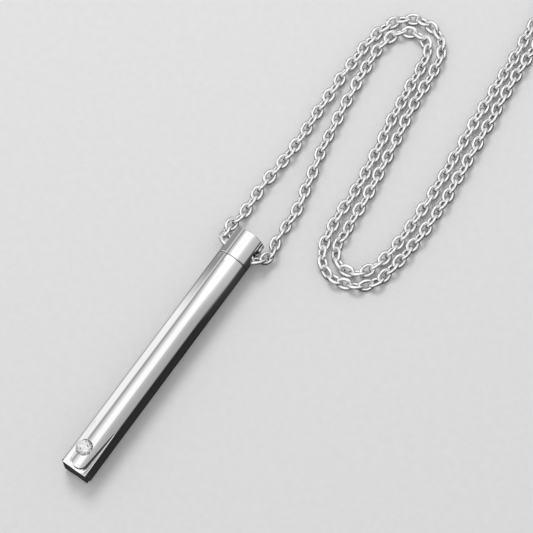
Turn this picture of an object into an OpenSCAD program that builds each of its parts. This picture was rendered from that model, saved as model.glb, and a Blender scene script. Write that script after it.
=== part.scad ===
// Bar urn pendant on a cable chain, lying on a flat surface.
// The bar lies along Y with its square end at -Y and its cap at +Y, and Z is up.

/* [Bar] */
// Diameter of the round bar
rod_d = 5; // [4.4:0.1:7]
// Length of the urn body, from the seam to its square end
body_len = 38.4; // [28:0.1:60]
// Thickness of the urn's round wall
wall = 0.8; // [0.5:0.05:1.1]
// Solid metal between the ash chamber and the square end
end_solid = 6.5; // [5.5:0.1:9]

/* [Square end] */
// How far the four corners stand out past the round bar
corner_proud = 0.35; // [0.2:0.05:0.7]
// Length over which the corners run out into the round bar
corner_len = 8; // [5:0.5:12]
// Thickness of the plain square rim at the very end
rim_len = 0.25; // [0.1:0.05:0.6]
// Length of the rounded shoulder behind the rim
shoulder_len = 0.9; // [0.4:0.1:1.6]
// How far the shoulder's foot lies below the flats
shoulder_dip = 0.18; // [0.1:0.02:0.3]

/* [Cap] */
// Length of the screw cap
cap_len = 4.6; // [3.8:0.1:8]
// Gap that shows as the seam between cap and body
seam = 0.06; // [0.04:0.01:0.2]
// Diameter of the cross hole that the chain runs through
hole_d = 2.4; // [2.2:0.1:2.8]
// Radius of the cap's rounded top edge
cap_round = 0.15; // [0.05:0.05:0.5]
// Length of the stud that screws into the body
stud_len = 3; // [2:0.1:5]
// Clearance all round the stud in the urn's mouth
stud_clear = 0.05; // [0.02:0.01:0.1]

/* [Crystal] */
// Diameter of the crystal at its girdle
stone_d = 2.3; // [1.6:0.1:2.7]
// Distance of the crystal's centre from the square end
stone_from_end = 3.3; // [2.9:0.1:4.5]
// Distance of the crystal's centre from the middle of the upper side
stone_aside = 0.58; // [0:0.02:0.8]
// Depth of the crystal's table below the crest of the bar
stone_sink = 0.1; // [0:0.05:0.4]
// Clearance all round the crystal in its seat
seat_clear = 0.06; // [0.03:0.01:0.12]

/* [Chain] */
// Outer diameter of the cable chain
chain_d = 1.6; // [1.3:0.05:1.7]
// Clearance between the chain and what it passes or meets
chain_clear = 0.12; // [0.05:0.01:0.25]

/* [Clasp] */
// Diameter of the barrel clasp
clasp_d = 2.6; // [2:0.1:4]
// Diameter of the wire of the clasp's two eyes
eye_wire = 0.5; // [0.4:0.05:0.8]
// Diameter of the hole in each eye
eye_hole = 1; // [0.8:0.1:1.6]

/* [Hidden] */
$fn = 96;

steel = [0.80, 0.81, 0.82];
chain_steel = [0.70, 0.71, 0.73];
crystal_clear = [0.88, 0.93, 0.98, 0.7];

// The bar's own sizes
rod_r = rod_d / 2;
bore_r = rod_r - wall;
stud_r = bore_r - stud_clear;
flat_h = (rod_r + corner_proud) * sqrt(0.5);
run_out_h = rod_r * sqrt(0.5);
corner_taper = (flat_h - run_out_h) / corner_len;
shoulder_end_r = flat_h - shoulder_dip;
shoulder_steps = 10;
corner_buried = 2;
seam_bevel = 0.08;
mouth_bevel = 0.15;
overcut = 1;
overlap = 0.01;
drill_point = 0.5;
drill_tip_r = 0.1;

// A brilliant cut's usual proportions, as shares of its diameter
crown_h = 0.15 * stone_d;
girdle_h = 0.04 * stone_d;
pavilion_h = 0.43 * stone_d;
table_d = 0.56 * stone_d;
culet_d = 0.06 * stone_d;
table_z = rod_d - stone_sink;
girdle_z = table_z - crown_h;
seat_foot_d = 2 * culet_d;

// Places along the bar, measured from the seam towards the cap
hole_y = cap_len / 2;
stone_y = stone_from_end - body_len;

// Heights of the chain: on the surface, in the cap's hole and at the clasp
chain_r = chain_d / 2;
chain_sides = 8;
in_cap_z = rod_r - hole_d / 2 + chain_r / cos(180 / chain_sides) + chain_clear / 2;
clasp_z = clasp_d / 2;
at_mouth = rod_r + 0.4;
beside_bar = rod_r + 1.4;

// The chain's route from the clasp round to the clasp again, as the photograph shows it lying,
// with a plain loop for the stretch behind the neck. Each stretch starts where the last one
// ends. Points are [x, y], or [x, y, z] where the chain is off the surface.
chain_route = [
    [[10, 145, clasp_z], [4, 143.5], [-3, 137], [-6.5, 126], [-5, 114]],
    [[0.5, 101], [8, 86], [13, 72], [15.2, 58]],
    [[15.9, 50], [16.5, 41], [17.5, 31], [18, 22], [17.9, 16]],
    [[17.3, 12], [15.8, 9.5], [13.2, 8.9], [11.1, 10.6], [10.6, 13.8]],
    [[10.2, 19], [9.2, 26.5], [8, 34], [7.1, 41]],
    [[6.6, 45.5], [4.4, 48.7], [1, 49.2], [-2.2, 47.2], [-3.7, 43]],
    [[-4, 38], [-3.8, 30], [-3.3, 20], [-3.6, 12], [-3.5, 6], [-beside_bar, 4, 1.5]],
    [[-at_mouth, hole_y, in_cap_z], [at_mouth, hole_y, in_cap_z], [beside_bar, 4.2, 1.5]],
    [[3.2, 6.2], [2.8, 12], [1.6, 17.5], [0.4, 22.5], [-0.9, 30.5], [-1.9, 38.5]],
    [[-1.9, 43], [-0.6, 46], [2, 47], [4, 46.2], [4.9, 43.5]],
    [[5.3, 39.5], [6, 34], [7.2, 27], [8.2, 19.5], [8.3, 15]],
    [[8.8, 11.5], [10.3, 8.1], [13, 6.8], [16.5, 7.6], [18.8, 10], [19.5, 13.5]],
    [[20, 19], [20, 24], [19.2, 34], [18.3, 43], [17.4, 54]],
    [[17.6, 64], [19.5, 76], [24, 89], [30, 102], [35, 114]],
    [[36.5, 126], [33, 137], [26, 143.5], [20, 145, clasp_z]],
];
points = [for (stretch = chain_route) for (p = stretch) [p[0], p[1], len(p) > 2 ? p[2] : chain_r]];
last_point = len(points) - 1;

// The clasp fills the gap between the chain's two ends
clasp_mid = (points[0] + points[last_point]) / 2;
clasp_span = norm(points[last_point] - points[0]) - 2 * chain_clear;
eye_r = (eye_hole + eye_wire) / 2;
barrel_len = clasp_span - 4 * eye_r;
barrel_taper = 0.6;

// The origin is under the middle of everything, on the surface that it lies on
low_x = min([for (p = points) p[0]]) - chain_r;
high_x = max([for (p = points) p[0]]) + chain_r;
low_y = -body_len;
high_y = clasp_mid[1] + max(clasp_d / 2, chain_r);
origin = [(low_x + high_x) / 2, (low_y + high_y) / 2, 0];

// Unit vector along v
function unit(v) = v / norm(v);

// Direction of the route at point i: the chords on both sides, the shorter one counting more
function heading(i) =
    i == 0 ? unit(points[1] - points[0]) :
    i == last_point ? unit(points[i] - points[i - 1]) :
    let (before = points[i] - points[i - 1], after = points[i + 1] - points[i])
    unit(unit(before) * norm(after) + unit(after) * norm(before));

// The corners of the chain's cross-section at point i, with a flat side underneath
function ring(i) =
    let (along = heading(i), side = unit(cross([0, 0, 1], along)), up = cross(along, side))
    [for (k = [0 : chain_sides - 1])
        let (a = 360 * (k + 0.5) / chain_sides)
        points[i] + chain_r / cos(180 / chain_sides) * (cos(a) * side + sin(a) * up)];

// Number of route points before stretch s
function points_before(s) = s == 0 ? 0 : points_before(s - 1) + len(chain_route[s - 1]);

// Moves what is drawn from the seam's place to the origin's
module placed() {
    translate(-origin) children();
}

// One stretch of the chain, as a tube from the end of the stretch before it
module chain_stretch(s) {
    first = max(0, points_before(s) - 1);
    last = points_before(s) + len(chain_route[s]) - 1;
    n = chain_sides;
    rings = last - first + 1;
    color(chain_steel) placed() polyhedron(
        points = [for (i = [first : last]) each ring(i)],
        faces = concat(
            [[for (k = [0 : n - 1]) n - 1 - k]],
            [for (i = [0 : rings - 2]) for (k = [0 : n - 1])
                let (here = i * n, next = here + n, j = (k + 1) % n)
                each [[here + k, here + j, next + j], [here + k, next + j, next + k]]],
            [[for (k = [0 : n - 1]) (rings - 1) * n + k]]));
}

// Turns a shape drawn with its axis along Z so that +Z points along +Y, at the bar's height
module along_bar(y) {
    translate([0, y, rod_r]) rotate([-90, 0, 0]) children();
}

// A bar of square section whose half width falls off along Z
module tapered_slab(len) {
    far_h = flat_h - corner_taper * len;
    linear_extrude(height = rod_d * 2, center = true)
        polygon([[-flat_h, 0], [flat_h, 0], [far_h, len], [-far_h, len]]);
}

// The four corners: a square bar that thins until it lies inside the round one
module square_end() {
    len = corner_len + corner_buried;
    translate([0, -body_len, rod_r]) intersection() {
        tapered_slab(len);
        rotate([0, 90, 0]) tapered_slab(len);
    }
}

// Outline of the round bar from its square end to the seam, as [radius, height]
function body_outline() = concat(
    [[0, 0], [shoulder_end_r, 0], [shoulder_end_r, rim_len]],
    [for (k = [1 : shoulder_steps])
        let (a = 90 * k / shoulder_steps)
        [shoulder_end_r + (rod_r - shoulder_end_r) * sin(a),
            rim_len + shoulder_len * (1 - cos(a))]],
    [[rod_r, body_len - seam / 2 - seam_bevel], [rod_r - seam_bevel, body_len - seam / 2],
        [0, body_len - seam / 2]]);

module ash_chamber() {
    depth = body_len - end_solid;
    mouth_r = bore_r + mouth_bevel;
    along_bar(end_solid - body_len) {
        cylinder(h = depth + overcut, r = bore_r);
        translate([0, 0, -drill_point]) cylinder(h = drill_point + overlap, r1 = drill_tip_r, r2 = bore_r);
    }
    along_bar(-seam / 2 - mouth_bevel)
        cylinder(h = mouth_bevel + overlap, r1 = bore_r, r2 = mouth_r);
}

module crystal_seat() {
    seat_r = stone_d / 2 + seat_clear;
    foot_z = girdle_z - girdle_h - pavilion_h - seat_clear;
    translate([-stone_aside, stone_y, 0]) {
        translate([0, 0, girdle_z - girdle_h]) cylinder(h = rod_d, r = seat_r);
        translate([0, 0, foot_z])
            cylinder(h = girdle_z - girdle_h - foot_z + overlap, r1 = seat_foot_d / 2, r2 = seat_r);
    }
}

// The urn: a round bar with a square end, a bored ash chamber and the crystal's seat
module urn_body() {
    color(steel) placed() difference() {
        union() {
            along_bar(-body_len) rotate_extrude() polygon(body_outline());
            square_end();
        }
        ash_chamber();
        crystal_seat();
    }
}

// The screw cap with its stud, cross-drilled for the chain
module cap() {
    low = seam / 2;
    arc = [for (a = [0 : 15 : 90]) [rod_r - cap_round * (1 - cos(a)),
        cap_len - cap_round * (1 - sin(a))]];
    color(steel) placed() difference() {
        along_bar(0) rotate_extrude() polygon(concat(
            [[0, -stud_len], [stud_r - seam_bevel, -stud_len], [stud_r, seam_bevel - stud_len],
                [stud_r, low], [rod_r - seam_bevel, low], [rod_r, low + seam_bevel]],
            arc, [[0, cap_len]]));
        translate([0, hole_y, rod_r]) rotate([0, 90, 0])
            cylinder(h = rod_d + 2 * overcut, r = hole_d / 2, center = true);
    }
}

// The clear brilliant, as a plain solid of revolution
module crystal() {
    color(crystal_clear) placed() translate([-stone_aside, stone_y, girdle_z]) rotate_extrude()
        polygon([[0, crown_h], [table_d / 2, crown_h], [stone_d / 2, 0],
            [stone_d / 2, -girdle_h], [culet_d / 2, -girdle_h - pavilion_h],
            [0, -girdle_h - pavilion_h]]);
}

// A closed barrel with an eye at each end for the chain's last links
module clasp() {
    r = clasp_d / 2;
    half = barrel_len / 2;
    color(steel) placed() translate(clasp_mid) {
        rotate([0, 90, 0]) rotate_extrude() polygon([[0, -half], [r - barrel_taper, -half],
            [r, -half + barrel_taper], [r, half - barrel_taper], [r - barrel_taper, half], [0, half]]);
        for (side = [-1, 1])
            translate([side * (half + eye_r - eye_wire / 2), 0, 0]) rotate_extrude()
                translate([eye_r, 0]) circle(d = eye_wire, $fn = 32);
    }
}

module chain_nape_left() chain_stretch(0);
module chain_back_left() chain_stretch(1);
module chain_out_left() chain_stretch(2);
module chain_turn_left() chain_stretch(3);
module chain_down_left() chain_stretch(4);
module chain_top_left() chain_stretch(5);
module chain_rise_left() chain_stretch(6);
module chain_in_cap() chain_stretch(7);
module chain_rise_right() chain_stretch(8);
module chain_top_right() chain_stretch(9);
module chain_down_right() chain_stretch(10);
module chain_turn_right() chain_stretch(11);
module chain_out_right() chain_stretch(12);
module chain_back_right() chain_stretch(13);
module chain_nape_right() chain_stretch(14);

cap();
urn_body();
crystal();
clasp();
chain_nape_left();
chain_back_left();
chain_out_left();
chain_turn_left();
chain_down_left();
chain_top_left();
chain_rise_left();
chain_in_cap();
chain_rise_right();
chain_top_right();
chain_down_right();
chain_turn_right();
chain_out_right();
chain_back_right();
chain_nape_right();
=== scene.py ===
import math

import bpy
import numpy as np
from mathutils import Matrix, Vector


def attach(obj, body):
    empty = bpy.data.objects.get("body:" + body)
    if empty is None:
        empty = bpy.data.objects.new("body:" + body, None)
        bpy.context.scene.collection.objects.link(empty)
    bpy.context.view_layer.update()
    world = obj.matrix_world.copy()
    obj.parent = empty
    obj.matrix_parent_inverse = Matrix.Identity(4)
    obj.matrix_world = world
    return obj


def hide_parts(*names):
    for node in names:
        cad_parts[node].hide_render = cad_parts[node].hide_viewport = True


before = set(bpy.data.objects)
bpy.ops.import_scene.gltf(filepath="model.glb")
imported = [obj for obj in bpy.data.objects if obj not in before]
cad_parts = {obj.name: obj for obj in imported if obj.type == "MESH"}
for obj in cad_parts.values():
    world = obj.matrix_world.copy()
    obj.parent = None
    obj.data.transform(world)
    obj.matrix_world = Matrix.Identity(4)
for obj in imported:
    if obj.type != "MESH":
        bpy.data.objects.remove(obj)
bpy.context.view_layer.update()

# Sizes in millimetres, and MM to turn them into metres. What the CAD has too has its size, apart from the
# square end, which is finer here.
MM = 0.001

# The bar's axis and the seam between urn and cap
AXIS_X, AXIS_Z, SEAM_Y = -15.0, 2.5, -53.95
HALF_SEAM, SEAM_BEVEL, MOUTH_BEVEL = 0.03, 0.08, 0.15

# The urn body
BODY_LEN, END_SOLID, DRILL_POINT = 38.4, 6.5, 0.5
ROD_R, WALL, STUD_CLEAR = 2.5, 0.8, 0.05
BORE_R = ROD_R - WALL
STUD_R = BORE_R - STUD_CLEAR
THREAD_PITCH, THREAD_DEPTH, THREAD_STEP, THREAD_FADE = 0.4, 0.12, 0.05, 0.25
BORE_THREAD, STUD_THREAD = (-3.35, -0.22), (-2.95, -0.3)
# How far below the mouth the bore's close rings end and its wide ones start
CLOSE_RINGS, WIDE_RINGS = 3.4, 3.5

# The square end as the photo shows it: how far its corners run and reach, 0.08 mm lower than the CAD's, the
# length of its rim and of the shoulder behind it, the rod's radius at the rim, and the rounding of its face
CORNER_LEN, CORNER_R = 8.0, 2.77
RIM_LEN, SHOULDER_LEN, SHOULDER_END_R = 0.16, 0.3, 1.8353
END_EDGE = 0.04

# The tongue of the rod on the upper and lower flats. Its tip: where it starts, how long it is and by what
# share its front is steeper than its sides.
TIP_Y, TIP_LEN, TIP_STEEPER = 0.3, 0.9, 1.2
# Its half width left and right, as what it is at the end and its growth for each millimetre, and the most
TONGUE_LEFT, TONGUE_RIGHT, TONGUE_MOST = (0.93, 0.091), (1.04, 0.0745), 1.775
# Where the cut beside it starts to rise out of the rod, and how fast
TONGUE_END, TONGUE_RISE = 7, 0.3

# Slopes of the flats left and right of the tongue, and of the tongue's sides
DISH_LEFT, DISH_RIGHT, BEVEL = 0.05, 0.3, 1.15
# The share of the flats' slopes at the very end, the length over which the rest comes in, and the length
# over which they fade before the corners' end
DISH_AT_END, DISH_OPENING, DISH_FADE = 0.6, 0.5, 2
# The flats' lowest level, as a share of a plain flat's
FLAT_LOWEST = 0.87

# Softness of the corners in radians, and of the tongue's edge, the flats' foot and their crease
CORNER_SOFT = 0.012
EDGE_BLEND, FOOT_BLEND, CREASE_BLEND = 0.015, 0.03, 0.02

# The cap
CAP_LEN, CAP_ROUND, STUD_LEN = 4.6, 0.15, 3.0
HOLE_R, HOLE_T = 1.2, 2.3

# The crystal: its place from the bar's axis and the square end, how deep it sits, its size and its play in
# the seat, and a brilliant cut's usual proportions
STONE_X, STONE_Y, STONE_SINK = -0.58, 3.3, 0.1
STONE_D, SEAT_CLEAR = 2.3, 0.06
STONE_R, TABLE_R, CULET_R = 0.5 * STONE_D, 0.28 * STONE_D, 0.03 * STONE_D
CROWN_H, GIRDLE_H, PAVILION_H = 0.15 * STONE_D, 0.04 * STONE_D, 0.43 * STONE_D
GIRDLE_Z = AXIS_Z + ROD_R - STONE_SINK - CROWN_H
SEAT_R, SEAT_FOOT_R = STONE_R + SEAT_CLEAR, 2 * CULET_R

# The height over the axis from which the search for the seat's rim on the bar starts
SEAT_GUESS = 2.3

# The clasp and the chain's links, with PITCH from one link to the next
CLASP_MID, CLASP_HALF, CLASP_R, CLASP_TAPER = (0.0, 91.05, 1.3), 3.38, 1.3, 0.6
EYE_R, EYE_WIRE = 0.75, 0.5
LINK_LONG, LINK_WIDE, WIRE, PITCH = 2.7, 2.0, 0.54, 1.6

# Points in a ring of the bar and the cap, and of the smaller turned shapes
BAR_POINTS, SMALL_POINTS = 192, 96

# Marks on faces, which are also their material's place in the piece's list
OUTSIDE, INSIDE, CUT = 0, 1, 2


# Meshes

def turns(count):
    """Equal angles round a full turn."""
    return np.arange(count) * 2 * math.pi / count


def mesh_piece(name, verts, faces, marks=None):
    """A Blender object from points in millimetres, with a mark on each face if given."""
    mesh = bpy.data.meshes.new(name)
    mesh.from_pydata((np.asarray(verts) * MM).tolist(), [], faces)
    if marks is not None:
        mesh.polygons.foreach_set("material_index", marks)
    mesh.update()
    obj = bpy.data.objects.new(name, mesh)
    bpy.context.scene.collection.objects.link(obj)
    return obj


def skin(rings, marks):
    """One closed skin through rings of equal count, ending in a point at each end.

    marks has one value for each ring, given to the faces that lead to it from the ring before.
    """
    n = len(rings[0])
    verts = np.concatenate([rings[0].mean(0)[None]] + list(rings) + [rings[-1].mean(0)[None]])
    faces, kinds = [], []
    last = len(verts) - 1
    for i in range(n):
        faces.append((0, 1 + (i + 1) % n, 1 + i))
        kinds.append(marks[0])
    for k in range(len(rings) - 1):
        a, b = 1 + k * n, 1 + (k + 1) * n
        for i in range(n):
            j = (i + 1) % n
            faces.append((a + i, a + j, b + j, b + i))
            kinds.append(marks[k + 1])
    a = 1 + (len(rings) - 1) * n
    for i in range(n):
        faces.append((a + i, a + (i + 1) % n, last))
        kinds.append(marks[-1])
    return verts, faces, kinds


def outward(verts, faces):
    """The faces, turned over if they enclose a negative volume."""
    v = np.asarray(verts)
    total = 0.0
    for f in faces:
        for i in range(1, len(f) - 1):
            total += np.dot(v[f[0]], np.cross(v[f[i]], v[f[i + 1]]))
    return faces if total > 0 else [tuple(reversed(f)) for f in faces]


def cut(obj, tool, operation="DIFFERENCE"):
    """Applies an exact boolean and removes the tool."""
    mod = obj.modifiers.new("cut", "BOOLEAN")
    mod.object, mod.operation, mod.solver = tool, operation, "EXACT"
    bpy.context.view_layer.update()
    graph = bpy.context.evaluated_depsgraph_get()
    mesh = bpy.data.meshes.new_from_object(obj.evaluated_get(graph))
    obj.modifiers.clear()
    obj.data = mesh
    bpy.data.objects.remove(tool)


def shade(obj, sharp_deg, true_normal=None):
    """Smooth shading with sharp edges over an angle, and exact normals where they are known.

    true_normal takes the corner points of the outside faces and gives (known, normal) for each.
    """
    mesh = obj.data
    mesh.polygons.foreach_set("use_smooth", np.ones(len(mesh.polygons), bool))
    mesh.set_sharp_from_angle(angle=math.radians(sharp_deg))
    if true_normal is None:
        return
    count = len(mesh.loops)
    normals = np.empty(count * 3)
    mesh.corner_normals.foreach_get("vector", normals)
    normals = normals.reshape(-1, 3)
    where = np.empty(count, np.int64)
    mesh.loops.foreach_get("vertex_index", where)
    points = np.empty(len(mesh.vertices) * 3)
    mesh.vertices.foreach_get("co", points)
    points = points.reshape(-1, 3)[where] / MM
    kinds = np.empty(len(mesh.polygons), np.int64)
    mesh.polygons.foreach_get("material_index", kinds)
    sizes = np.empty(len(mesh.polygons), np.int64)
    mesh.polygons.foreach_get("loop_total", sizes)
    outside = np.repeat(kinds, sizes) == OUTSIDE
    known, exact = true_normal(points)
    use = outside & known
    normals[use] = exact[use]
    mesh.normals_split_custom_set(normals.tolist())


def on_bar(radius, angle, t):
    """Points round the bar's axis: angle from straight up towards +X, t from the seam towards the cap."""
    angle, t = np.broadcast_arrays(angle, t)
    return np.stack([AXIS_X + radius * np.sin(angle), SEAM_Y + t, AXIS_Z + radius * np.cos(angle)], -1)


# Urn body

def rod_radius(y):
    """The round rod, with the shoulder that dips behind the rim of the square end."""
    share = np.clip(1 - (y - RIM_LEN) / SHOULDER_LEN, 0, 1)
    return SHOULDER_END_R + (ROD_R - SHOULDER_END_R) * np.sqrt(1 - share ** 2)


def smooth_step(share):
    """0 up to a share of 0, 1 from a share of 1 and level at both ends."""
    share = np.clip(share, 0, 1)
    return share ** 2 * (3 - 2 * share)


def to_right(angle):
    """0 on the bar's left half, 1 on its right half and a smooth step between them."""
    return smooth_step(0.5 + 1.1 * np.sin(angle))


def corner_radius(y):
    """How far out the four corners reach, down to where they lie well inside the rod."""
    return np.maximum(CORNER_R - (CORNER_R - ROD_R) * y / CORNER_LEN, 2)


def tongue(angle, a, y):
    """The radius of what the flats leave of the rod as a tongue: its round tip and its sloping sides."""
    left, right = (np.minimum(end_width + growth * y, TONGUE_MOST)
                   for end_width, growth in (TONGUE_LEFT, TONGUE_RIGHT))
    half = left + (right - left) * to_right(angle)
    tip = np.maximum(1 - (y - TIP_Y) / TIP_LEN, 0)
    rod = rod_radius(y)
    r = rod + 0 * a
    for _ in range(8):
        x = r * np.sin(a)
        out = np.maximum(np.sqrt((x / half) ** 2 + tip ** 2), 1e-6)
        steep = BEVEL * (1 + TIP_STEEPER * (tip / out) ** 2)
        height = np.sqrt(np.maximum(rod ** 2 - (x / out) ** 2, 0.1)) - steep * half * (out - 1)
        r = r - (r * np.cos(a) - height) / (np.cos(a) + steep * x / (half * out) * np.sin(a))
    return r + TONGUE_RISE * np.maximum(y - TONGUE_END, 0) ** 2


def dish(angle, y):
    """How steeply an upper or lower flat rises from the tongue's foot to the corner."""
    slope = DISH_LEFT + (DISH_RIGHT - DISH_LEFT) * to_right(angle)
    opened = DISH_AT_END + (1 - DISH_AT_END) * smooth_step(y / DISH_OPENING)
    return slope * opened * np.clip((CORNER_LEN - y) / DISH_FADE, 0, 1)


def smooth_max(a, b, blend):
    """The larger of two, rounded off where they are within the blend of each other."""
    return np.maximum(a, b) + np.maximum(blend - np.abs(a - b), 0) ** 2 / (4 * blend)


def layers(angle, y):
    """The radii of the rod, of the tongue cut from it and of the flats, the flats' lowest level last."""
    a = np.abs((angle + math.pi / 4) % (math.pi / 2) - math.pi / 4)
    upper = np.abs(np.cos(angle)) > math.sqrt(0.5)
    slope = np.where(upper, dish(angle, y), 0)
    tip = math.pi / 4 - CORNER_SOFT
    soft = math.pi / 4 - np.sqrt((math.pi / 4 - a) ** 2 + CORNER_SOFT ** 2)
    corner = corner_radius(y)
    flat = corner * (math.cos(tip) - slope * math.sin(tip)) / (np.cos(soft) - slope * np.sin(soft))
    lowest = np.where(upper, FLAT_LOWEST, 0) * corner * math.cos(tip) / np.cos(soft)
    return rod_radius(y) + 0 * a, np.where(upper, tongue(angle, a, y), 2 * CORNER_R), flat, lowest


def bar_radius(angle, y):
    """The outline round the axis: plain flats at the sides, dished ones beside a tongue above and below."""
    rod, cut_rod, flat, lowest = layers(angle, y)
    round_part = -smooth_max(-rod, -cut_rod, EDGE_BLEND)
    return smooth_max(round_part, smooth_max(flat, lowest, FOOT_BLEND), CREASE_BLEND)


def crossing(where, gap):
    """Where the gap first turns positive."""
    k = int(np.argmax(gap > 0))
    if k == 0:
        return where[0] if gap[0] > 0 else where[-1]
    return where[k - 1] + (where[k] - where[k - 1]) * gap[k - 1] / (gap[k - 1] - gap[k])


def ring_angles(y):
    """Angles round the bar that follow the tongue's edge and foot, the creases and the corners."""
    deg = math.pi / 180
    grid = np.linspace(0, 44.9, 180) * deg
    at_edge = np.array([-0.8, -0.4, 0, 0.4, 0.8]) * deg
    at_foot = np.array([-0.8, -0.3, 0.3, 0.8]) * deg
    to_corner = np.array([0.15, 0.35, 0.55, 0.72, 0.85, 0.94, 1.0])

    def eighth_by(side):
        rod, cut_rod, flat, lowest = layers(side * grid, y)
        first = min(max(crossing(grid, rod - cut_rod), 3 * deg), 36 * deg)
        second = crossing(grid, np.maximum(flat, lowest) - np.minimum(rod, cut_rod))
        second = min(max(second, first + 3 * deg), 42 * deg)
        return np.concatenate([
            np.linspace(0, first - 1.6 * deg, 7), first + at_edge,
            np.linspace(first + 0.8 * deg, second - 0.8 * deg, 4)[1:3], second + at_foot,
            second + 0.8 * deg + (44.2 * deg - second) * to_corner])

    left, right = eighth_by(-1), eighth_by(1)
    flat_share = corner_radius(y) * math.cos(math.pi / 4 - CORNER_SOFT) / rod_radius(y)
    crease = math.acos(min(max(flat_share, 0.755), 0.9976))
    plain = np.concatenate([
        np.linspace(0, crease - 1.6 * deg, 11), crease + at_edge,
        np.linspace(crease + 1.6 * deg, 43 * deg, 6), np.array([43.8, 44.4, 45]) * deg])
    quarters = [(left, right), (plain, plain), (right, left), (plain, plain)]
    return np.concatenate([np.concatenate([-a[:0:-1], b[:-1]]) + k * math.pi / 2
                           for k, (a, b) in enumerate(quarters)])


def bar_normal(points):
    """Exact normals on the outside of the urn body."""
    px, y, pz = points[:, 0] - AXIS_X, points[:, 1] - SEAM_Y + BODY_LEN, points[:, 2] - AXIS_Z
    angle, step = np.arctan2(px, pz), 1e-4
    r = bar_radius(angle, y)
    by_angle = (bar_radius(angle + step, y) - bar_radius(angle - step, y)) / (2 * step)
    by_y = (bar_radius(angle, y + step) - bar_radius(angle, y - step)) / (2 * step)
    s, c = np.sin(angle), np.cos(angle)
    n = np.stack([r * s - by_angle * c, -r * by_y, r * c + by_angle * s], -1)
    known = (y > END_EDGE + 0.01) & (y < BODY_LEN - HALF_SEAM - SEAM_BEVEL - 0.02)
    return known, n / np.linalg.norm(n, axis=1)[:, None]


def thread(angle, t, start, end):
    """Depth of the thread's groove, fading out at both ends."""
    fade = np.clip(np.minimum(t - start, end - t) / THREAD_FADE, 0, 1)
    return THREAD_DEPTH * fade * (0.5 - 0.5 * np.cos(2 * math.pi * t / THREAD_PITCH - angle))


def urn_body():
    rings, marks = [], []
    even = turns(BAR_POINTS) - math.pi / 4

    def add(angles, radius, y, mark):
        rings.append(on_bar(radius, angles, y - BODY_LEN))
        marks.append(mark)

    # The square face with its rounded edge, then the outline along the bar, closest together at the tip
    square = ring_angles(0)
    outline = bar_radius(square, 0)
    for share in (0.05, 0.3, 0.6, 0.85, 0.96):
        add(square, outline * share, 0, OUTSIDE)
    for a in np.radians([0, 15, 30, 45, 60, 75, 90]):
        add(square, outline - END_EDGE * (1 - math.sin(a)), END_EDGE * (1 - math.cos(a)), OUTSIDE)
    top = BODY_LEN - HALF_SEAM
    round_tip = TIP_Y + TIP_LEN * (1 - np.cos(np.radians(np.arange(0, 91, 3))))
    along = np.concatenate([np.arange(0.055, TIP_Y - 0.01, 0.0125), round_tip, [1.26, 1.34, 1.45],
                            np.arange(1.58, 9, 0.17), np.linspace(9.2, top - SEAM_BEVEL, 20)])
    for y in along:
        angles = ring_angles(y)
        add(angles, bar_radius(angles, y), y, OUTSIDE)

    # The rounded edge at the seam, the flat round the mouth, the mouth's bevel, the thread and the bore
    for a in np.radians([22.5, 45, 67.5, 90]):
        radius = ROD_R - SEAM_BEVEL * (1 - math.cos(a))
        add(even, radius + 0 * even, top - SEAM_BEVEL * (1 - math.sin(a)), OUTSIDE)
    for radius in (2.36, 2.1, 1.9, BORE_R + MOUTH_BEVEL):
        add(even, radius + 0 * even, top, INSIDE)
    for share in (0.35, 0.7, 1):
        add(even, BORE_R + MOUTH_BEVEL * (1 - share) + 0 * even, top - MOUTH_BEVEL * share, INSIDE)
    for y in np.arange(top - MOUTH_BEVEL - THREAD_STEP, top - CLOSE_RINGS, -THREAD_STEP):
        add(even, BORE_R + thread(even, y - BODY_LEN, *BORE_THREAD), y, INSIDE)
    for y in np.linspace(top - WIDE_RINGS, END_SOLID, 14):
        add(even, BORE_R + 0 * even, y, INSIDE)
    add(even, 0.9 + 0 * even, END_SOLID - DRILL_POINT / 2, INSIDE)
    add(even, 0.1 + 0 * even, END_SOLID - DRILL_POINT, INSIDE)
    verts, faces, kinds = skin(rings, marks)
    obj = mesh_piece("urn_bar", verts, outward(verts, faces), kinds)
    cut(obj, seat_tool())
    shade(obj, 28, bar_normal)
    return obj


def seat_tool():
    """What the crystal's seat takes out of the bar: a cone, a short wall and a rim just rolled over."""
    turn = turns(SMALL_POINTS)
    px, y = STONE_X + SEAT_R * np.sin(turn), STONE_Y + SEAT_R * np.cos(turn)
    z = np.full(SMALL_POINTS, SEAT_GUESS)
    for _ in range(40):
        z = np.sqrt(bar_radius(np.arctan2(px, z), y) ** 2 - px ** 2)
    rim = z + AXIS_Z
    foot = GIRDLE_Z - GIRDLE_H - PAVILION_H - SEAT_CLEAR
    wall = GIRDLE_Z - GIRDLE_H

    def ring(radius, height):
        return np.stack([AXIS_X + STONE_X + radius * np.sin(turn),
                         SEAM_Y - BODY_LEN + STONE_Y + radius * np.cos(turn), height + 0 * turn], -1)

    low = np.minimum(wall, rim - 0.14)
    cone = SEAT_FOOT_R + (SEAT_R - SEAT_FOOT_R) * (low - foot) / (wall - foot)
    rings = [ring(0.05, foot), ring(SEAT_FOOT_R, foot),
             ring(0.5 * (cone + SEAT_FOOT_R), 0.5 * (low + foot)), ring(cone, low)]
    mouth = np.maximum(cone, SEAT_R - 0.3 * (low < wall) * (wall - low))
    for drop, grow in ((0.09, 0.0), (0.05, 0.01), (0.02, 0.035), (0.004, 0.07), (-0.006, 0.1)):
        rings.append(ring(mouth + grow, rim - drop))
    rings.append(ring(SEAT_R + 0.2, rim + 0.1))
    rings.append(ring(SEAT_R + 0.2, 2 * ROD_R + 1))
    verts, faces, kinds = skin(rings, [INSIDE] * 5 + [CUT] * (len(rings) - 5))
    return mesh_piece("seat_tool", verts, outward(verts, faces), kinds)


# Cap

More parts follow.
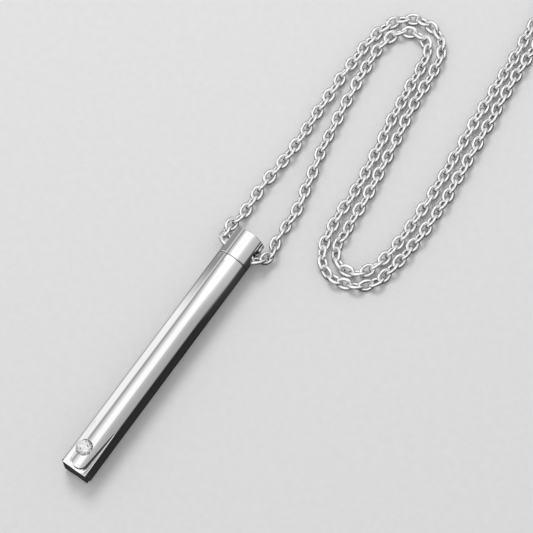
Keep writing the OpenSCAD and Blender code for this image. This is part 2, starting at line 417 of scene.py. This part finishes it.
def cap_normal(points):
    """Exact normals on the cap's round outside."""
    px, t, pz = points[:, 0] - AXIS_X, points[:, 1] - SEAM_Y, points[:, 2] - AXIS_Z
    n = np.stack([px, 0 * px, pz], -1)
    length = np.linalg.norm(n, axis=1)
    low, high, margin = HALF_SEAM + SEAM_BEVEL, CAP_LEN - CAP_ROUND, 0.02
    known = (t > low + margin) & (t < high - margin) & (length > ROD_R - margin)
    return known, n / np.maximum(length, 1e-9)[:, None]


def cap():
    even = turns(BAR_POINTS)
    rings, marks = [], []

    def add(radius, t, mark=OUTSIDE):
        rings.append(on_bar(radius + 0 * even, even, t))
        marks.append(mark)

    # The stud: its end, its rounded edge, its thread and the turned neck under the cap's face
    for radius in (0.1, 0.8, 1.4, STUD_R - 0.1):
        add(radius, -STUD_LEN, INSIDE)
    for a in np.radians([0, 30, 60, 90]):
        add(STUD_R - SEAM_BEVEL * (1 - math.sin(a)), -STUD_LEN + SEAM_BEVEL * (1 - math.cos(a)), INSIDE)
    for t in np.arange(-STUD_LEN + 0.12, STUD_THREAD[1], THREAD_STEP):
        add(STUD_R - thread(even, t, *STUD_THREAD), t, INSIDE)
    neck = STUD_R - 0.15
    for radius, t in ((STUD_R, -0.28), (neck + 0.03, -0.22), (neck, -0.12), (neck, 0),
                      (neck + 0.03, HALF_SEAM)):
        add(radius, t, INSIDE)
    for radius in (1.9, 2.2, 2.38):
        add(radius, HALF_SEAM, INSIDE)

    # The outside, from the seam's rounded edge to the flat end
    for a in np.radians([0, 22.5, 45, 67.5, 90]):
        add(ROD_R - SEAM_BEVEL * (1 - math.sin(a)), HALF_SEAM + SEAM_BEVEL * (1 - math.cos(a)))
    for t in np.linspace(0.2, CAP_LEN - CAP_ROUND, 18):
        add(ROD_R, t)
    for a in np.radians(np.arange(11.25, 91, 11.25)):
        add(ROD_R - CAP_ROUND * (1 - math.cos(a)), CAP_LEN - CAP_ROUND * (1 - math.sin(a)))
    for radius in (2.28, 2.0, 1.4, 0.7, 0.1):
        add(radius, CAP_LEN)
    verts, faces, kinds = skin(rings, marks)
    obj = mesh_piece("urn_cap", verts, outward(verts, faces), kinds)
    cut(obj, hole_tool())
    shade(obj, 28, cap_normal)
    return obj


def hole_tool():
    """What the cross hole takes out of the cap, with a rolled rim at each mouth."""
    turn = turns(SMALL_POINTS)
    mouth = np.sqrt(ROD_R ** 2 - (HOLE_R * np.sin(turn)) ** 2)
    rings = []
    profile = [(-0.16, 0.0), (-0.1, 0.005), (-0.05, 0.02), (-0.015, 0.045), (0.02, 0.09), (0.3, 0.5),
               (1.2, 0.5)]
    half = [(mouth + out, HOLE_R + grow) for out, grow in profile]
    half.insert(0, (0.8 * mouth, HOLE_R))
    for x, r in [(-x, r) for x, r in reversed(half)] + half:
        rings.append(np.stack([AXIS_X + x + 0 * turn, SEAM_Y + HOLE_T + r * np.cos(turn),
                               AXIS_Z + r * np.sin(turn)], -1))
    verts, faces, kinds = skin(rings, [CUT] * len(rings))
    return mesh_piece("hole_tool", verts, outward(verts, faces), kinds)


# Crystal

def crystal():
    """A round brilliant: table, 8 stars, 8 bezels, 16 upper and 16 lower girdle facets, 8 mains."""
    step = math.pi / 4
    parts = 4
    mid_x, mid_y = AXIS_X + STONE_X, SEAM_Y - BODY_LEN + STONE_Y
    verts, faces = [], []

    def point(radius, angle, z):
        verts.append((mid_x + radius * math.cos(angle), mid_y + radius * math.sin(angle), GIRDLE_Z + z))
        return len(verts) - 1

    def crown_z(radius, off):
        return CROWN_H * (STONE_R - radius * math.cos(off)) / (STONE_R - TABLE_R)

    def pavilion_z(radius, off):
        return -GIRDLE_H - PAVILION_H * (STONE_R - radius * math.cos(off)) / (STONE_R - CULET_R)

    def on_plane(three, angle):
        """How high over the girdle's top a plane through three points is, at the girdle's outline."""
        a, b, c = (np.array(verts[i]) for i in three)
        n = np.cross(b - a, c - a)
        x, y = mid_x + STONE_R * math.cos(angle), mid_y + STONE_R * math.sin(angle)
        return a[2] - (n[0] * (x - a[0]) + n[1] * (y - a[1])) / n[2] - GIRDLE_Z

    twist = math.radians(9)
    table = [point(TABLE_R, twist + k * step, CROWN_H) for k in range(8)]
    star_r = (TABLE_R * math.cos(step / 2) + STONE_R) / 2
    star = [point(star_r, twist + (k + 0.5) * step, crown_z(star_r, step / 2)) for k in range(8)]
    low_r = 0.24 * STONE_R
    low = [point(low_r, twist + (k + 0.5) * step, pavilion_z(low_r, step / 2)) for k in range(8)]
    culet = [point(CULET_R, twist + k * step, -GIRDLE_H - PAVILION_H) for k in range(8)]
    upper = [point(STONE_R, twist + k * step / 2, 0.0) for k in range(16)]
    lower = [point(STONE_R, twist + k * step / 2, -GIRDLE_H) for k in range(16)]
    faces.append(tuple(table))
    faces.append(tuple(reversed(culet)))
    for k in range(8):
        nxt, before = (k + 1) % 8, (k - 1) % 8
        faces.append((table[k], star[before], upper[2 * k], star[k]))
        faces.append((table[k], star[k], table[nxt]))
        faces.append((culet[k], low[k], lower[2 * k], low[before]))
        faces.append((culet[k], culet[nxt], low[k]))
    for k in range(16):
        tip, foot = star[(k // 2) % 8], low[(k // 2) % 8]
        a, b = upper[k], upper[(k + 1) % 16]
        c, d = lower[k], lower[(k + 1) % 16]
        mid_up, mid_down = [], []
        for j in range(1, parts):
            angle = twist + (k + j / parts) * step / 2
            mid_up.append(point(STONE_R, angle, on_plane((tip, a, b), angle)))
            mid_down.append(point(STONE_R, angle, on_plane((foot, c, d), angle)))
        faces.append((tip, a, *mid_up, b))
        faces.append((foot, d, *reversed(mid_down), c))
        up, down = [a, *mid_up, b], [c, *mid_down, d]
        for j in range(parts):
            faces.append((up[j], down[j], down[j + 1], up[j + 1]))
    return mesh_piece("brilliant", verts, outward(verts, faces))


# Clasp

def clasp():
    """A closed barrel with turned grooves and a wire eye at each end."""
    turn = turns(SMALL_POINTS)
    mid = np.array(CLASP_MID)
    rings = []
    end_r = CLASP_R - CLASP_TAPER
    half = [(-CLASP_HALF, 0.1), (-CLASP_HALF, end_r - 0.1), (-CLASP_HALF + 0.04, end_r - 0.02)]
    for a in np.radians(np.arange(0, 91, 11.25)):
        half.append((-CLASP_HALF + CLASP_TAPER * 1.4 * (1 - math.cos(a)) + 0.05,
                     end_r + (CLASP_R - end_r) * math.sin(a)))
    for groove in (-2.0, -1.6, -1.2):
        for off, deep in ((-0.12, 0), (-0.07, 0.03), (-0.03, 0.07), (0.03, 0.07), (0.07, 0.03), (0.12, 0)):
            half.append((groove + off, CLASP_R - deep))
    half += [(-0.1, CLASP_R), (-0.05, CLASP_R - 0.03), (-0.02, CLASP_R - 0.08)]
    for x, r in half + [(-x, r) for x, r in reversed(half)]:
        rings.append(mid + np.stack([x + 0 * turn, r * np.cos(turn), r * np.sin(turn)], -1))
    verts, faces, kinds = skin(rings, [OUTSIDE] * len(rings))
    obj = mesh_piece("clasp_barrel", verts, outward(verts, faces), kinds)
    for side in (-1, 1):
        centre = mid + [side * (CLASP_HALF + EYE_R - EYE_WIRE / 2), 0, 0]
        verts, faces = ring_wire(centre, (1, 0, 0), (0, 1, 0), EYE_R, EYE_R, EYE_WIRE / 2, 48, 16)
        cut(obj, mesh_piece("eye", verts, faces, [OUTSIDE] * len(faces)), "UNION")
    shade(obj, 35)
    return obj


def ring_wire(centre, along, across, half_long, half_wide, wire_r, around, section):
    """A closed ring of round wire: an ellipse in the plane of along and across."""
    along, across = np.asarray(along, float), np.asarray(across, float)
    normal = np.cross(along, across)
    u, v = turns(around), turns(section)
    mid = half_long * np.cos(u)[:, None] * along + half_wide * np.sin(u)[:, None] * across
    out = half_wide * np.cos(u)[:, None] * along + half_long * np.sin(u)[:, None] * across
    out /= np.linalg.norm(out, axis=1)[:, None]
    c, s = np.cos(v)[None, :, None], np.sin(v)[None, :, None]
    points = mid[:, None] + wire_r * (c * out[:, None] + s * normal)
    verts = (points + np.asarray(centre)).reshape(-1, 3)
    faces = []
    for i in range(around):
        for j in range(section):
            a, b = i * section, (i + 1) % around * section
            k = (j + 1) % section
            faces.append((a + j, b + j, b + k, a + k))
    return verts, outward(verts, faces)


# Chain

# The CAD's route, in millimetres from the seam on the bar's axis. Height is given where it's off the floor.
ROUTE = {
    "nape_left": [[10, 145, 1.3], [4, 143.5], [-3, 137], [-6.5, 126], [-5, 114]],
    "back_left": [[0.5, 101], [8, 86], [13, 72], [15.2, 58]],
    "out_left": [[15.9, 50], [16.5, 41], [17.5, 31], [18, 22], [17.9, 16]],
    "turn_left": [[17.3, 12], [15.8, 9.5], [13.2, 8.9], [11.1, 10.6], [10.6, 13.8]],
    "down_left": [[10.2, 19], [9.2, 26.5], [8, 34], [7.1, 41]],
    "top_left": [[6.6, 45.5], [4.4, 48.7], [1, 49.2], [-2.2, 47.2], [-3.7, 43]],
    "rise_left": [[-4, 38], [-3.8, 30], [-3.3, 20], [-3.6, 12], [-3.5, 6], [-3.9, 4, 1.5]],
    "in_cap": [[-2.9, 2.3, 2.28], [2.9, 2.3, 2.28], [3.9, 4.2, 1.5]],
    "rise_right": [[3.2, 6.2], [2.8, 12], [1.6, 17.5], [0.4, 22.5], [-0.9, 30.5], [-1.9, 38.5]],
    "top_right": [[-1.9, 43], [-0.6, 46], [2, 47], [4, 46.2], [4.9, 43.5]],
    "down_right": [[5.3, 39.5], [6, 34], [7.2, 27], [8.2, 19.5], [8.3, 15]],
    "turn_right": [[8.8, 11.5], [10.3, 8.1], [13, 6.8], [16.5, 7.6], [18.8, 10], [19.5, 13.5]],
    "out_right": [[20, 19], [20, 24], [19.2, 34], [18.3, 43], [17.4, 54]],
    "back_right": [[17.6, 64], [19.5, 76], [24, 89], [30, 102], [35, 114]],
    "nape_right": [[36.5, 126], [33, 137], [26, 143.5], [20, 145, 1.3]],
}

# The route's height on the floor, and how much higher it has to be to decide the links' height alone
LOW_Z, LIFT_RANGE = 0.8, 0.5

# The links' roll in degrees where each stretch starts, and at the end. Strands that are travelled in
# opposite directions have mirrored rolls, so that they look alike.
ROLL = [90, 55, 32, 32, 58, 58, 32, 32, 58, 58, 32, 32, 58, 58, 70, 90]

# How far the first link is from the route's end, the straight stretch there, and how links stray from the
# route: their twist in degrees and their joints' distance from it
END_INSET, STRAIGHT_END, TWIST, STRAY = 0.13, 3, 5, 0.05

# How far links keep off the bottom of the cap's hole
HOLE_CLEAR = 0.03


def spline():
    """The route as closely spaced points, with the stretch's number at each.

    What lies between two stretches counts as the first one's here, and as the second one's in the CAD.
    """
    steps = 60
    points, owner = [], []
    for k, stretch in enumerate(ROUTE.values()):
        for p in stretch:
            points.append([p[0], p[1], p[2] if len(p) > 2 else LOW_Z])
            owner.append(k)
    p = np.array(points, float)
    gap = np.linalg.norm(np.diff(p, axis=0), axis=1)
    way = np.diff(p, axis=0) / gap[:, None]
    slope = np.empty_like(p)
    slope[0], slope[-1] = way[0], way[-1]
    slope[1:-1] = (way[:-1] * gap[1:, None] + way[1:] * gap[:-1, None]) / (gap[:-1] + gap[1:])[:, None]
    fine, kinds = [], []
    t = np.arange(steps)[:, None] / steps
    for i in range(len(p) - 1):
        fine.append((2 * t ** 3 - 3 * t ** 2 + 1) * p[i] + (t ** 3 - 2 * t ** 2 + t) * slope[i] * gap[i]
                    + (3 * t ** 2 - 2 * t ** 3) * p[i + 1] + (t ** 3 - t ** 2) * slope[i + 1] * gap[i])
        kinds += [owner[i]] * steps
    fine.append(p[-1:])
    kinds.append(owner[-1])
    return np.concatenate(fine), np.array(kinds)


def sideways(way):
    """The level direction at right angles to a way."""
    side = np.cross(way, (0, 0, 1))
    return side / np.linalg.norm(side)


def chain():
    """Cable links along the route, one piece for each stretch of the CAD's chain."""
    line, owner = spline()
    run = np.concatenate([[0], np.cumsum(np.linalg.norm(np.diff(line, axis=0), axis=1))])
    names = list(ROUTE)
    starts = [run[np.argmax(owner == k)] for k in range(len(names))] + [run[-1]]
    count = int(round((run[-1] - 2 * END_INSET) / PITCH))
    count += count % 2  # even, so that both end links are turned alike
    places = np.linspace(END_INSET, run[-1] - END_INSET, count + 1)
    wander = np.random.default_rng(11)
    rings = {name: [] for name in names}

    def at(s):
        """The point of the route at a length, straight on past its ends."""
        point = np.array([np.interp(s, run, line[:, i]) for i in range(3)])
        if s < 0:
            point += s * (line[1] - line[0]) / (run[1] - run[0])
        if s > run[-1]:
            point += (s - run[-1]) * (line[-1] - line[-2]) / (run[-1] - run[-2])
        return point

    tilt = wander.normal(0, 1, (len(places), 2))
    tilt[(places < STRAIGHT_END) | (places > run[-1] - STRAIGHT_END)] = 0
    quarter = 90 * (np.arange(len(places)) % 2)
    angles = np.radians(np.interp(places, starts, ROLL) + TWIST * tilt[:, 0] + quarter)
    half_long, half_wide = (LINK_LONG - WIRE) / 2, (LINK_WIDE - WIRE) / 2
    rise = half_wide * np.maximum(abs(np.sin(angles)), abs(np.cos(angles)))
    reach = rise + WIRE / 2
    half = (places[1] - places[0]) / 2

    def joint(i):
        """Where a link meets the one before: a bit off the route, and as high as the taller one needs."""
        s = places[0] + (2 * i - 1) * half
        point = at(s)
        before, after = max(i - 1, 0), min(i, len(places) - 1)
        point += STRAY * tilt[before, 1] * sideways(at(s + half) - at(s - half))
        tallest = max(reach[before], reach[after])
        lift = min(max((point[2] - LOW_Z) / LIFT_RANGE, 0), 1)
        point[2] = max(point[2] * lift + tallest * (1 - lift), tallest)
        in_hole = abs(point[0]) < ROD_R and abs(point[1] - HOLE_T) < 1
        if in_hole:
            point[2] = max(point[2], AXIS_Z - HOLE_R + tallest + HOLE_CLEAR)
        return point

    joints = [joint(i) for i in range(len(places) + 1)]
    for i, s in enumerate(places):
        centre = (joints[i] + joints[i + 1]) / 2
        along = joints[i + 1] - joints[i]
        along /= np.linalg.norm(along)
        side = sideways(along)
        up = np.cross(side, along)
        across = math.cos(angles[i]) * side + math.sin(angles[i]) * up
        lowest = math.hypot(half_long * along[2], rise[i]) + WIRE / 2
        centre[2] = max(centre[2], lowest)
        centre += (AXIS_X, SEAM_Y, 0)
        k = int(np.searchsorted(starts, s, side="right")) - 1
        rings[names[min(k, len(names) - 1)]].append((centre, along, across))

    pieces = {}
    for name, group in rings.items():
        verts, faces = [], []
        for centre, along, across in group:
            points, quads = ring_wire(centre, along, across, half_long, half_wide, WIRE / 2, 24, 10)
            faces += [tuple(len(verts) + k for k in quad) for quad in quads]
            verts += list(points)
        obj = mesh_piece("links_" + name, verts, faces)
        shade(obj, 80)
        pieces[name] = obj
    return pieces


# Materials

class Nodes:
    """Short calls for building a material's or the world's node tree."""

    def __init__(self, tree):
        self.tree = tree

    def add(self, kind, **values):
        node = self.tree.nodes.new("ShaderNode" + kind)
        for key, value in values.items():
            setattr(node, key, value)
        return node

    def join(self, source, target):
        self.tree.links.new(source, target)

    def noise(self, where, scale, detail=3.0, rough=0.5):
        node = self.add("TexNoise")
        node.inputs["Scale"].default_value = scale
        node.inputs["Detail"].default_value = detail
        node.inputs["Roughness"].default_value = rough
        self.join(where, node.inputs["Vector"])
        return node.outputs["Fac"]

    def stretch(self, where, scale):
        node = self.add("Mapping")
        node.inputs["Scale"].default_value = scale
        self.join(where, node.inputs["Vector"])
        return node.outputs["Vector"]

    def ramp(self, source, stops, interpolation="LINEAR"):
        node = self.add("ValToRGB")
        ramp = node.color_ramp
        ramp.interpolation = interpolation
        while len(ramp.elements) < len(stops):
            ramp.elements.new(1.0)
        for element, (position, value) in zip(ramp.elements, stops):
            element.position = position
            element.color = (*value, 1) if isinstance(value, tuple) else (value, value, value, 1)
        self.join(source, node.inputs["Fac"])
        return node.outputs["Color"]

    def rescale(self, source, start, goal):
        """The source's range start as the range goal, and held at its ends."""
        node = self.add("MapRange")
        for name, value in zip(("From Min", "From Max", "To Min", "To Max"), (*start, *goal)):
            node.inputs[name].default_value = value
        self.join(source, node.inputs["Value"])
        return node.outputs["Result"]

    def bump(self, height, strength, distance, normal=None):
        node = self.add("Bump")
        node.inputs["Strength"].default_value = strength
        node.inputs["Distance"].default_value = distance
        self.join(height, node.inputs["Height"])
        if normal is not None:
            self.join(normal, node.inputs["Normal"])
        return node.outputs["Normal"]

    def mix(self, share, first, second):
        node = self.add("Mix", data_type="RGBA")
        self.join(share, node.inputs[0])
        for value, socket in ((first, node.inputs[6]), (second, node.inputs[7])):
            if isinstance(value, tuple):
                socket.default_value = value
            else:
                self.join(value, socket)
        return node.outputs[2]


def material(name, **constants):
    """A new material, its nodes and its shader, with constants set on the shader's own sockets."""
    mat = bpy.data.materials.new(name)
    mat.use_nodes = True
    shader = mat.node_tree.nodes["Principled BSDF"]
    for socket, value in constants.items():
        shader.inputs[socket.replace("_", " ")].default_value = value
    return mat, Nodes(mat.node_tree), shader


def steel(name, tint, rough, scratch_scale, scratch, wave):
    """Polished steel: its colour, roughness range, the scratches' scale and depth, and a slow waviness."""
    mat, n, shader = material(name, Metallic=1.0, Specular_IOR_Level=0.5)
    where = n.add("TexCoord").outputs["Object"]
    smudge = n.noise(n.stretch(where, (260, 90, 260)), 1.0, 5.0, 0.6)
    smudged = tuple(0.955 * c for c in tint)
    n.join(n.ramp(smudge, [(0.35, smudged), (0.65, tint)]), shader.inputs["Base Color"])
    n.join(n.rescale(smudge, (0, 1), rough), shader.inputs["Roughness"])
    fine = n.noise(n.stretch(where, scratch_scale), 1.0, 2.0, 0.7)
    slow = n.noise(where, 420.0, 1.0, 0.4)
    scratched = n.bump(fine, scratch, 0.00002)
    n.join(n.bump(slow, wave, 0.00005, scratched), shader.inputs["Normal"])
    return mat


def turned_steel(name):
    """The bored and threaded places: rings left by the tool, duller than the outside."""
    mat, n, shader = material(name, Metallic=1.0)
    where = n.add("TexCoord").outputs["Object"]
    rings = n.noise(n.stretch(where, (400, 30000, 400)), 1.0, 3.0, 0.6)
    tone = n.ramp(rings, [(0.3, (0.50, 0.50, 0.51)), (0.7, (0.68, 0.68, 0.69))])
    n.join(tone, shader.inputs["Base Color"])
    n.join(n.rescale(rings, (0, 1), (0.22, 0.4)), shader.inputs["Roughness"])
    n.join(n.bump(rings, 0.3, 0.00002), shader.inputs["Normal"])
    return mat


def clear_stone(name):
    """The crystal: high refraction, slightly grey, with a trace of dust in its polish."""
    mat, n, shader = material(name, Transmission_Weight=1.0, IOR=2.3)
    dust = n.noise(n.add("TexCoord").outputs["Object"], 3000.0, 3.0, 0.6)
    n.join(n.rescale(dust, (0, 1), (0, 0.03)), shader.inputs["Roughness"])
    tone = n.ramp(dust, [(0.3, (0.75, 0.76, 0.77)), (0.7, (0.8, 0.81, 0.82))])
    n.join(tone, shader.inputs["Base Color"])
    return mat


def pale_floor():
    mat, n, shader = material("floor_pale", Roughness=0.75, Specular_IOR_Level=0.15)
    grain = n.noise(n.add("TexCoord").outputs["Object"], 900.0, 4.0, 0.6)
    n.join(n.ramp(grain, [(0.3, 0.775), (0.7, 0.805)]), shader.inputs["Base Color"])
    return mat


# Stage, light and camera

# Half the floor's side in millimetres
FLOOR_HALF = 1500

# The tent round the bar's axis: its radius and half its length in millimetres, and its strength
TENT_R, TENT_HALF, TENT_GLOW = 200, 340, 3

# The tent's lamps and drapes, as degrees round the bar from straight up towards +X, and brightness. The low
# ones are mirrored by the bar's end half and the high ones by its cap half.
LOW_BANDS = [
    (-180, 0.3), (-136, 0.45), (-124, 0.6), (-117, 1.02), (-62, 1.0), (-58, 0.7), (-54, 0.4), (-50, 0.33),
    (-46, 0.37), (-41, 0.56), (-30, 0.75), (-17, 1.1), (8, 1.1), (13, 0.95), (18, 0.6), (36, 0.48),
    (70, 0.42), (73, 0.42), (79, 0.032), (97, 0.025), (115, 0.03), (180, 0.02)]
HIGH_BANDS = [
    (-180, 0.03), (-150, 0.05), (-128, 0.32), (-78, 0.32), (-72, 0.35), (-68, 0.72), (-63, 0.72),
    (-58, 0.34), (-54, 0.27), (-49, 0.45), (-43, 0.65), (-34, 0.88), (-24, 1.25), (15, 1.3), (25, 0.88),
    (38, 0.64), (60, 0.55), (84, 0.5), (89, 0.1), (104, 0.05), (180, 0.03)]
END_BANDS = [
    (-180, 0.03), (-112, 0.06), (-100, 0.6), (-52, 0.8), (-44, 1.35), (32, 1.35), (40, 0.6), (52, 0.2),
    (84, 0.08), (180, 0.03)]
FAR_BANDS = [
    (-180, 0.4), (-120, 0.4), (-90, 0.32), (-60, 0.5), (-30, 0.95), (30, 0.95), (60, 0.5), (90, 0.32),
    (120, 0.4), (180, 0.4)]

# Where along the tent, in millimetres from the seam, the low bands turn into the high ones, and by what
# shares the end bands take over, all of them dim and the far bands take over
LOW_TO_HIGH = (38, 52)
END_SHARE = [(-340, 1), (-25, 1), (-5, 0), (88, 0), (110, 1), (340, 1)]
DIMMING = [(-340, 0.4), (-180, 0.5), (-120, 1), (170, 1), (230, 0.4), (340, 0.3)]
FAR_SHARE = [(-340, 1), (-300, 1), (-240, 0), (190, 0), (250, 1), (340, 1)]


def studio_tent():
    """A tube of soft lamps and dark drapes round the object, seen only in its reflections."""
    count = SMALL_POINTS
    turn = turns(count)
    rim = np.stack([TENT_R * np.sin(turn), 0 * turn, TENT_R * np.cos(turn)], -1)
    verts = np.concatenate([rim - (0, TENT_HALF, 0), rim + (0, TENT_HALF, 0)])
    faces = [(i, (i + 1) % count, count + (i + 1) % count, count + i) for i in range(count)]
    faces += [tuple(range(count)), tuple(reversed(range(count, 2 * count)))]
    obj = mesh_piece("tent", verts, faces)
    obj.location = Vector((AXIS_X, SEAM_Y, AXIS_Z)) * MM
    obj.data.materials.append(tent_lamps())
    obj.visible_camera = obj.visible_diffuse = obj.visible_shadow = False
    obj.visible_volume_scatter = False
    return obj


def tent_lamps():
    mat = bpy.data.materials.new("tent_lamps")
    mat.use_nodes = True
    mat.cycles.emission_sampling = "NONE"
    mat.node_tree.nodes.clear()
    n = Nodes(mat.node_tree)
    split = n.add("SeparateXYZ")
    n.join(n.add("TexCoord").outputs["Object"], split.inputs["Vector"])
    sweep = n.add("Math", operation="ARCTAN2")
    n.join(split.outputs["X"], sweep.inputs[0])
    n.join(split.outputs["Z"], sweep.inputs[1])
    round_bar = n.rescale(sweep.outputs["Value"], (-math.pi, math.pi), (0, 1))
    along = n.rescale(split.outputs["Y"], (-TENT_HALF * MM, TENT_HALF * MM), (0, 1))

    def bands(table):
        return n.ramp(round_bar, [((angle + 180) / 360, value / TENT_GLOW) for angle, value in table])

    def shares(table):
        return n.ramp(along, [((y + TENT_HALF) / (2 * TENT_HALF), value) for y, value in table])

    to_high = n.rescale(split.outputs["Y"], [y * MM for y in LOW_TO_HIGH], (0, 1))
    near = n.mix(shares(END_SHARE), n.mix(to_high, bands(LOW_BANDS), bands(HIGH_BANDS)), bands(END_BANDS))
    dimmed = n.mix(shares(DIMMING), (0, 0, 0, 1), near)
    lamps = n.mix(shares(FAR_SHARE), dimmed, bands(FAR_BANDS))
    glow = n.add("Emission")
    glow.inputs["Strength"].default_value = TENT_GLOW
    n.join(lamps, glow.inputs["Color"])
    n.join(glow.outputs["Emission"], n.add("OutputMaterial").inputs["Surface"])
    return mat


def aimed(name, data, place, target):
    """A camera or lamp at a place in millimetres, turned to look at a target."""
    obj = bpy.data.objects.new(name, data)
    obj.location = Vector(place) * MM
    obj.rotation_euler = (Vector(target) * MM - obj.location).to_track_quat("-Z", "Y").to_euler()
    bpy.context.scene.collection.objects.link(obj)
    return obj


def stage():
    """The pale floor, the tent, the surround and one soft lamp."""
    sides = ((-1, -1), (1, -1), (1, 1), (-1, 1))
    floor = mesh_piece("floor", [(x * FLOOR_HALF, y * FLOOR_HALF, 0) for x, y in sides], [(0, 1, 2, 3)])
    floor.data.materials.append(pale_floor())
    floor.visible_glossy = False
    tent = studio_tent()

    world = bpy.data.worlds.new("studio")
    bpy.context.scene.world = world
    world.use_nodes = True
    n = Nodes(world.node_tree)
    back = world.node_tree.nodes["Background"]
    split = n.add("SeparateXYZ")
    n.join(n.add("TexCoord").outputs["Generated"], split.inputs["Vector"])
    n.join(n.ramp(split.outputs["Z"], [(0.0, 0.8), (1.0, 1.0)]), back.inputs["Color"])
    back.inputs["Strength"].default_value = 0.66

    key = bpy.data.lights.new("key", "AREA")
    key.shape, key.size, key.energy = "DISK", 0.22, 0.9
    lamp = aimed("key", key, (-220, 100, 420), (0, -30, 0))
    lamp.visible_glossy = False
    lamp.visible_camera = False


def camera():
    """The photo's view: 70 degrees above the surface, with a long lens."""
    data = bpy.data.cameras.new("camera")
    data.lens, data.sensor_width = 139.7, 36
    data.clip_start, data.clip_end = 0.01, 10
    bpy.context.scene.camera = aimed("camera", data, (48.39, -136.25, 285.67), (-11.01, -50.92, 0))


# The scene

def place(obj, materials, body, slot, *nodes):
    """Gives a piece its materials and its body, and lets it stand for the CAD's nodes."""
    obj.data.materials.clear()
    for mat in materials:
        obj.data.materials.append(mat)
    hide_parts(*nodes)
    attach(obj, body)


bpy.context.scene.view_settings.view_transform = "Standard"
camera()
stage()

bar_steel = steel("steel_polished", tint=(0.90, 0.895, 0.90), rough=(0.03, 0.075),
                  scratch_scale=(5200, 60, 5200), scratch=0.12, wave=0.04)
link_steel = steel("steel_tumbled", tint=(0.94, 0.935, 0.94), rough=(0.18, 0.28),
                   scratch_scale=(2500, 2500, 2500), scratch=0.25, wave=0.15)
bored_steel = turned_steel("steel_turned")
stone = clear_stone("crystal_clear")

place(urn_body(), [bar_steel, bored_steel, bar_steel], "urn", "polished_steel", "urn_body")
place(crystal(), [stone], "urn", "crystal", "crystal")
place(cap(), [bar_steel, bored_steel, bar_steel], "necklace", "polished_steel", "cap")
place(clasp(), [link_steel], "necklace", "polished_steel", "clasp")
for name, links in chain().items():
    place(links, [link_steel], "necklace", "chain_steel", "chain_" + name)
